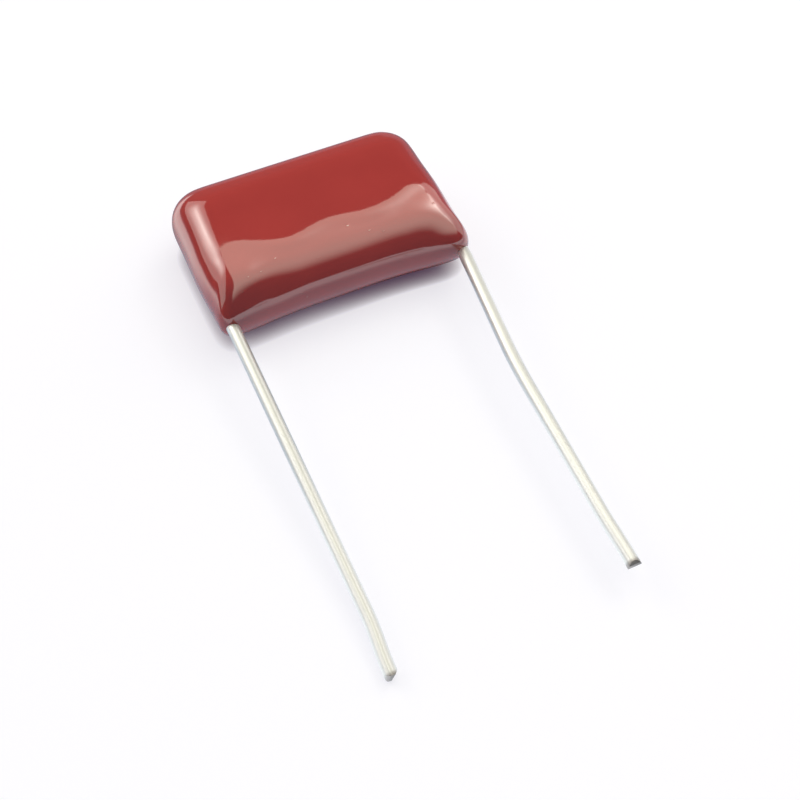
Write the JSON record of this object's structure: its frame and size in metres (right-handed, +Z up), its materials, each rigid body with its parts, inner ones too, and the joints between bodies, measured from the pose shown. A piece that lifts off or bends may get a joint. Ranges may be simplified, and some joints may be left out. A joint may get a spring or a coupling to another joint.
{
  "type": "dipped film capacitor",
  "caption": "Dipped film capacitor: a pressed film winding with sprayed metal ends, sealed in a glossy brown-red epoxy coat, with two tinned wire leads for through-hole mounting.",
  "frame": {"origin": "middle of the broad face that the body rests on", "axes": "+X along the lead pitch, from the left lead to the right one; the leads run towards -Y; +Z up, through the thickness of the body"},
  "size_m": [0.0164, 0.0342, 0.0052],
  "materials": {
    "coating": "glossy cured epoxy with slow waves and small specks",
    "film": "pressed metallised polypropylene film, silvery and slightly milky",
    "sprayed_metal": "matte grey sprayed zinc, finely grained",
    "tinned_wire": "tinned copper-clad steel wire with drawing lines"
  },
  "bodies": {
    "root": {"epoxy_coating": "coating", "film_winding": "film", "end_spray_left": "sprayed_metal", "end_spray_right": "sprayed_metal", "lead_left": "tinned_wire", "lead_right": "tinned_wire"}
  },
  "joints": []
}
